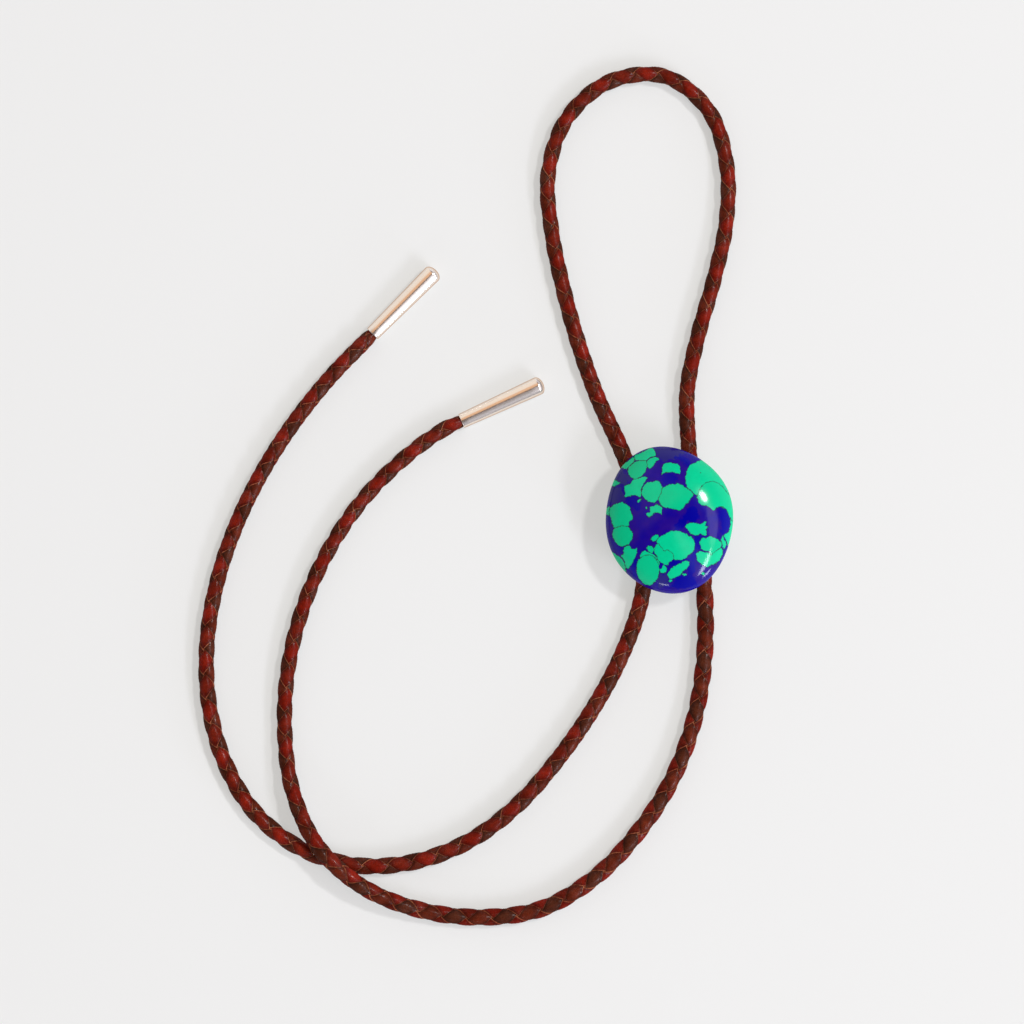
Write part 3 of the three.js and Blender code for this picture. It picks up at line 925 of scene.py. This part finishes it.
# %% [markdown]
# ## Blotches and grain
# Dye takes unevenly, resin sets unevenly and metal tarnishes unevenly, so one group of soft
# blotches serves them all. Leather also has a grain: small rounded cells with creases between
# them. Both groups give a plain number, and each finish decides what it changes.

# %% Blotches group
BLOTCHES = new_group(
    "Blotches",
    [("Scale", "Float", 400.0), ("Detail", "Float", 3.0)],
    [("Value", "Float", None)],
)
inside = Tree(BLOTCHES)
taken, given = inside.ends()
noise = inside.add(
    "TexNoise", Vector=inside.position(), Scale=taken.outputs["Scale"],
    Detail=taken.outputs["Detail"], Roughness=0.6,
)
inside.set(given, "Value", inside.smooth(noise.outputs["Fac"], 0.3, 0.7))
print("group", BLOTCHES.name)

# %% Grain group
GRAIN = new_group(
    "Grain",
    [("Scale", "Float", 2500.0), ("Creases", "Float", 0.5)],
    [("Height", "Float", None)],
)
inside = Tree(GRAIN)
taken, given = inside.ends()
cells = inside.add("TexVoronoi", Vector=inside.position(), Scale=taken.outputs["Scale"])
fine = inside.add("TexNoise", Vector=inside.position(), Scale=taken.outputs["Scale"], Detail=4.0)
pitted = inside.times(cells.outputs["Distance"], taken.outputs["Creases"])
inside.set(given, "Height", inside.math("ADD", pitted, fine.outputs["Fac"]))
print("group", GRAIN.name)

# %% [markdown]
# ## Waxed leather
# The laces are cut from leather that is dyed on its face only. The cut edges stay a light tan,
# and they draw the thin zigzag lines that make the braid easy to read. The dye is painted darker
# next to the edges and where a lace dips under the others: painted shade, partly handling wear.
# Wax sits on top as a thin coat. The grain breaks it into specks, and it has worn off towards the
# sides, so it shines only where the leather faces the eye.

# %% Leather colour
leather, tree, skin = new_material("waxed_leather")
raw = tree.attribute("raw_edge", "Fac")
patch = tree.group(BLOTCHES, Scale=190.0, Detail=3.0)
mottle = tree.group(BLOTCHES, Scale=1100.0, Detail=4.0)
shade = tree.between(patch, 1.0, 0.65)
shade = tree.times(shade, tree.between(mottle, 1.05, 0.75))
# Painted shade between the laces and where each dips under the crossing ones, partly handling wear
shaded_and_handled = tree.between(tree.attribute("painted_shade_and_wear", "Fac"), 1.08, 0.38)
shade = tree.times(shade, shaded_and_handled)
dyed = tree.mix(1.0, tree.attribute("lace_tint", "Color"), shade, "MULTIPLY")
bared = tree.mix(mottle, colour(0.40, 0.14, 0.068), colour(0.18, 0.050, 0.022))
shows = tree.times(raw, tree.between(patch, 1.15, 0.3))
tree.set(skin, "Base Color", tree.mix(shows, dyed, bared))
print("leather colour set")

# %% Leather surface
grain = tree.group(GRAIN, Scale=3000.0, Creases=0.9)
bump = tree.add("Bump", Strength=0.7, Distance=0.12 * MM, Height=grain)
tree.set(skin, "Normal", bump.outputs["Normal"])
tree.set(skin, "Roughness", tree.between(raw, 0.5, 0.7))
facing = tree.less(tree.add("LayerWeight", Blend=0.5).outputs["Facing"])
specks = tree.smooth(tree.group(BLOTCHES, Scale=4200.0, Detail=2.0), 0.35, 0.85)
wax = tree.times(tree.between(specks, 0.05, 0.8), tree.less(raw))
wax = tree.times(wax, tree.math("POWER", facing, 2.0))
tree.set(skin, "Coat Weight", tree.times(wax, tree.between(patch, 1.1, 0.3)))
settle(skin, {"Coat Roughness": 0.29, "Specular IOR Level": 0.02})
for piece in BRAIDS.values():
    piece.data.materials.append(leather)
print("leather on", len(BRAIDS), "pieces")

# %% [markdown]
# ## The stone's colours
# The three layers of chips are laid over the ground one after another. A group does that: it
# colours the inside of an outline and draws the dark seam along it. Before the distances are
# used, two noises shift them a little, which turns the smooth charted curves into broken edges.

# %% Chip layer group
CHIP_LAYER = new_group(
    "Chip layer",
    [("Under", "Color", None), ("Distance", "Float", 1.0), ("Tone", "Color", None)],
    [("Color", "Color", None)],
)
inside = Tree(CHIP_LAYER)
taken, given = inside.ends()
distance = taken.outputs["Distance"]
fill = inside.less(inside.smooth(distance, -0.05, 0.03))
seam = inside.less(inside.smooth(inside.math("ABSOLUTE", distance), 0.04, 0.15))
laid = inside.mix(fill, taken.outputs["Under"], taken.outputs["Tone"])
seamed = inside.mix(inside.times(seam, 0.75), laid, colour(0.016, 0.012, 0.022))
inside.set(given, "Color", seamed)
print("group", CHIP_LAYER.name)

# %% Stone ground
polish, tree, gem = new_material("mineral_stone")
broad = tree.group(BLOTCHES, Scale=150.0, Detail=2.0)
fine = tree.group(BLOTCHES, Scale=520.0, Detail=4.0)
ground = tree.mix(broad, colour(0.003, 0.0, 0.27), colour(0.024, 0.004, 0.22))
ground = tree.mix(tree.times(fine, 0.35), ground, colour(0.010, 0.001, 0.20))
edge_shift = tree.between(fine, -0.6, 0.6)
for field, tone in (("clouded", (0.020, 0.017, 0.18)), ("pure_blue", (0.0, 0.0, 0.27))):
    reach = tree.math("ADD", tree.attribute(field, "Fac"), edge_shift)
    ground = tree.mix(tree.less(tree.smooth(reach, -0.2, 0.5)), ground, colour(*tone))
print("stone ground set")

# %% Stone chips
CHIP_GREENS = {
    "chips_back": colour(0.0, 0.58, 0.275),
    "chips_middle": colour(0.0, 0.555, 0.26),
    "chips_front": colour(0.0, 0.53, 0.245),
}
sway = tree.add("TexNoise", Vector=tree.position(), Scale=620.0, Detail=1.0)
jag = tree.add("TexNoise", Vector=tree.position(), Scale=2300.0, Detail=2.0)
shift = tree.math("ADD", *(tree.between(noise.outputs["Fac"], -0.35, 0.35) for noise in (sway, jag)))
pattern = ground
for field, green in CHIP_GREENS.items():
    value = tree.math("ADD", tree.attribute(field, "Fac"), shift)
    tone = tree.mix(tree.times(fine, 0.25), green, colour(0.0, 0.44, 0.205))
    pattern = tree.group(CHIP_LAYER, Under=pattern, Distance=value, Tone=tone)
print("chip layers", len(CHIP_GREENS))

# %% [markdown]
# A polished stone of this kind has a few small dark pits where a bit of resin has come away. The
# dome itself is a dull body under a clear, glassy polish, so a coat carries the reflections.

# %% Stone pits and polish
pits = tree.add("TexVoronoi", Vector=tree.position(), Scale=330.0)
pit = tree.less(tree.smooth(pits.outputs["Distance"], 0.04, 0.08))
chosen = tree.add("SeparateXYZ", Vector=pits.outputs["Color"]).outputs["X"]
pit = tree.times(pit, tree.math("GREATER_THAN", chosen, 0.8))
pattern = tree.mix(tree.times(pit, 0.8), pattern, colour(0.02, 0.02, 0.02))
tree.set(gem, "Base Color", pattern)
settle(gem, {
    "Roughness": 0.5, "Specular IOR Level": 0.0,
    "Coat Weight": 0.45, "Coat Roughness": 0.12, "Coat IOR": 1.5,
})
stone.data.materials.append(polish)
print("stone polished")

# %% [markdown]
# ## Bright metal for the tips
# The caps are drawn, plated and buffed. Their plating is a pale rose gold, and what they show is
# mostly the room around them. Towards the outline the colour deepens to a darker red-brown: a
# painted darker reflection along the edge. Buffing leaves it a little uneven, which a faint noise
# in the roughness gives.

# %% Tip metal
bright, tree, metal = new_material("bright_tip")
settle(metal, {"Metallic": 1.0, "Specular Tint": colour(0.78, 0.55, 0.40)})
smear = tree.group(BLOTCHES, Scale=1300.0, Detail=3.0)
# Painted reflection: the base colour turns darker and redder towards the outline
painted_outline_reflection = tree.math("POWER", tree.add("LayerWeight", Blend=0.5).outputs["Facing"], 3.0)
tree.set(metal, "Base Color", tree.mix(painted_outline_reflection, colour(0.96, 0.88, 0.80), colour(0.50, 0.28, 0.14)))
tree.set(metal, "Roughness", tree.between(smear, 0.22, 0.24))
for cap in CAPS.values():
    cap.data.materials.append(bright)
print("bright metal on", len(CAPS), "tips")

# %% [markdown]
# ## The clasp
# The clasp is hidden behind the stone: a plate, two sleeves and a strap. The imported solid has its
# true shape, so it stays as it is and only takes a satin metal finish.

# %% Clasp metal
satin, tree, metal = new_material("satin_clasp")
settle(metal, {"Metallic": 1.0, "Base Color": colour(0.60, 0.57, 0.52)})
smear = tree.group(BLOTCHES, Scale=500.0, Detail=3.0)
tree.set(metal, "Roughness", tree.between(smear, 0.28, 0.43))
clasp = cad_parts["back_clasp"]
clasp.data.materials.clear()
clasp.data.materials.append(satin)
print("satin metal on", clasp.name)

# %% [markdown]
# ## The table
# The tie lies on a plain pale table. Like a lightbox, the table gives a little light of its own,
# which keeps the shadows next to the cord soft.

# %% Table
TABLE_HALF = 6.0
corners = [(x * TABLE_HALF, y * TABLE_HALF, 0) for x, y in ((-1, -1), (1, -1), (1, 1), (-1, 1))]
table_mesh = bpy.data.meshes.new("table_top")
table_mesh.from_pydata(corners, [], [(0, 1, 2, 3)])
table = placed("table_top", table_mesh)
pale, _, paint = new_material("pale_table")
settle(paint, {
    "Base Color": colour(0.38, 0.38, 0.38), "Roughness": 0.9, "Specular IOR Level": 0.0,
    "Emission Color": colour(0.445, 0.458, 0.448), "Emission Strength": 1.0,
})
table_mesh.materials.append(pale)
print("table is", 2 * TABLE_HALF, "m wide")

# %% [markdown]
# ## The room
# Bright metal and a polished dome are read through what they reflect, so the room is built for
# them. Pale walls stand round the table and darken upwards. One side is warm. Opposite it, a white
# wall makes the bright stripe along a tip, and a dim corner beside it leaves the other tip grey.
# Each is a smooth field of direction, because hard-edged cards would show in the stone.

# %% Sky
world = bpy.data.worlds.new("studio")
bpy.context.scene.world = world
world.use_nodes = True
tree = Tree(world.node_tree)
way = world.node_tree.nodes.new("ShaderNodeTexCoord").outputs["Generated"]
ROOM_SHADES = [
    {"height": 0.0, "shade": colour(0.86, 0.85, 0.93)},
    {"height": 0.32, "shade": colour(0.72, 0.70, 0.77)},
    {"height": 0.6, "shade": colour(0.26, 0.235, 0.225)},
    {"height": 0.85, "shade": colour(0.18, 0.15, 0.13)},
    {"height": 1.0, "shade": colour(0.07, 0.055, 0.045)},
]


def towards(azimuth):
    """How far a direction reaches towards an azimuth on the horizon, from -1 to 1."""
    heading = math.radians(azimuth)
    product = tree.add("VectorMath", {"operation": "DOT_PRODUCT"})
    tree.set(product, 0, way)
    tree.set(product, 1, (math.cos(heading), math.sin(heading), 0.0))
    return product.outputs["Value"]


def side(azimuth):
    """How far a direction reaches towards an azimuth, and how far aside of it."""
    return towards(azimuth), tree.math("ABSOLUTE", towards(azimuth + 90))


sky = tree.add("ValToRGB", Fac=tree.add("SeparateXYZ", Vector=way).outputs["Z"])
stops = sky.color_ramp.elements
for _ in ROOM_SHADES[2:]:
    stops.new(0.5)
for stop, row in zip(stops, ROOM_SHADES):
    stop.position = row["height"]
for stop, row in zip(stops, ROOM_SHADES):
    stop.color = row["shade"]
print("room shades", [round(stop.position, 2) for stop in stops])

# %% Warm side, white wall and dim corner
WARM_AZIMUTH = 125
WHITE_AZIMUTH = -45
DIM_AZIMUTH = -78

out, aside = side(WARM_AZIMUTH)
warm = tree.times(tree.smooth(out, 0.03, 0.14), tree.less(tree.smooth(aside, 0.15, 0.55)))
shade = tree.mix(tree.smooth(out, 0.5, 0.68), colour(0.82, 0.50, 0.31), colour(0.92, 0.84, 0.76))
lit = tree.mix(warm, sky.outputs["Color"], shade)

out, aside = side(DIM_AZIMUTH)
dim = tree.times(tree.smooth(out, 0.03, 0.3), tree.less(tree.smooth(aside, 0.22, 0.48)))
shade = tree.mix(tree.smooth(out, 0.2, 0.9), colour(0.11, 0.085, 0.065), colour(0.27, 0.27, 0.31))
lit = tree.mix(tree.times(dim, 0.9), lit, shade)

out, aside = side(WHITE_AZIMUTH)
spread = tree.math("DIVIDE", aside, tree.math("MAXIMUM", out, 0.02))
band = tree.times(tree.smooth(out, 0.06, 0.16), tree.less(tree.smooth(out, 0.86, 1.0)))
core = tree.times(tree.less(tree.smooth(spread, 0.12, 0.3)), 0.77)
skirt = tree.times(tree.less(tree.smooth(spread, 0.2, 0.7)), 0.23)
white = tree.times(band, tree.math("ADD", core, skirt))
lit = tree.mix(white, lit, colour(1.30, 1.28, 1.40))

background = world.node_tree.nodes["Background"]
tree.set(background, "Color", lit)
tree.set(background, "Strength", 1.0)
print("room colours set")

# %% [markdown]
# ## The lights
# Five panels do the rest. A small window above and to the right puts the bright spot on the
# dome and the specks on the leather. A long slanting one in front makes the pale arc near the
# stone's rim, and a dim one carries that arc on up the right side. A window just above the
# table gives the cord its bluish edge. A small low lamp leaves a last glint at the stone's foot.

# %% Light panels
# Angles in degrees, the lean from straight up and the roll about the panel's own axis. Sizes and
# distances in metres.
PANELS = [
    {
        "name": "window", "azimuth": 30, "lean": 35, "roll": 0, "distance": 3.4,
        "size": (0.48, 0.34), "radiance": 120, "tint": (1.0, 1.0, 1.0),
    },
    {
        "name": "long_window", "azimuth": -40, "lean": 55, "roll": 28, "distance": 2.6,
        "size": (1.2, 0.34), "radiance": 26, "tint": (0.88, 0.91, 1.0),
    },
    {
        "name": "side_wall", "azimuth": -4, "lean": 42, "roll": 32, "distance": 2.4,
        "size": (1.3, 0.6), "radiance": 3, "tint": (0.9, 0.88, 1.0),
    },
    {
        "name": "low_window", "azimuth": -44, "lean": 80, "roll": 0, "distance": 2.6,
        "size": (0.5, 0.45), "radiance": 22, "tint": (0.75, 0.83, 1.0),
    },
    {
        "name": "low_lamp", "azimuth": -98, "lean": 66, "roll": 0, "distance": 2.6,
        "size": (0.5, 0.2), "radiance": 14, "tint": (0.9, 0.92, 1.0),
    },
]


def light_panel(name, azimuth, lean, roll, distance, size, radiance, tint):
    """A rounded panel that faces the slide."""
    data = bpy.data.lights.new(name, "AREA")
    data.shape = "ELLIPSE"
    data.size, data.size_y = size
    data.energy = radiance * math.pi * (math.pi / 4) * size[0] * size[1]
    data.color = tint
    turn, off = math.radians(azimuth), math.radians(lean)
    out = Vector((math.cos(turn) * math.sin(off), math.sin(turn) * math.sin(off), math.cos(off)))
    light = placed(name, data)
    light.location = out * distance
    facing = (-out).to_track_quat("-Z", "Y")
    light.rotation_euler = (facing @ Quaternion((0, 0, 1), math.radians(roll))).to_euler()
    light.visible_camera = False


for panel in PANELS:
    light_panel(**panel)
bpy.context.scene.view_settings.view_transform = "Standard"
print("panels", [panel["name"] for panel in PANELS])

# %% [markdown]
# ## Joining the frame
# Each piece rides on the tie's root, and the imported solid that it stands for is hidden. The table
# also lists a material slot for each piece, which nothing here uses. Nothing moves, because the cord
# holds the slide where it lies.

# %% Rides and replacements
STAND_INS = [
    (BRAIDS["neck"], "cord_neck_loop", "braided_leather"),
    (BRAIDS["left"], "cord_left_tail", "braided_leather"),
    (BRAIDS["right"], "cord_right_tail", "braided_leather"),
    (CAPS["left"], "tip_left", "tip_metal"),
    (CAPS["right"], "tip_right", "tip_metal"),
    (stone, "cabochon", "stone"),
]
for piece, node, slot in STAND_INS:
    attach(piece, "root")
    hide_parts(node)
print("stand-ins", len(STAND_INS))

# %% [markdown]
# ## The cord's stretches
# The three stretches make up one cord. The loop starts at one sleeve's mouth and ends inside the
# other sleeve. Each tail starts at its sleeve's mouth and ends in its tip.


print("cords declared", len(LINES))
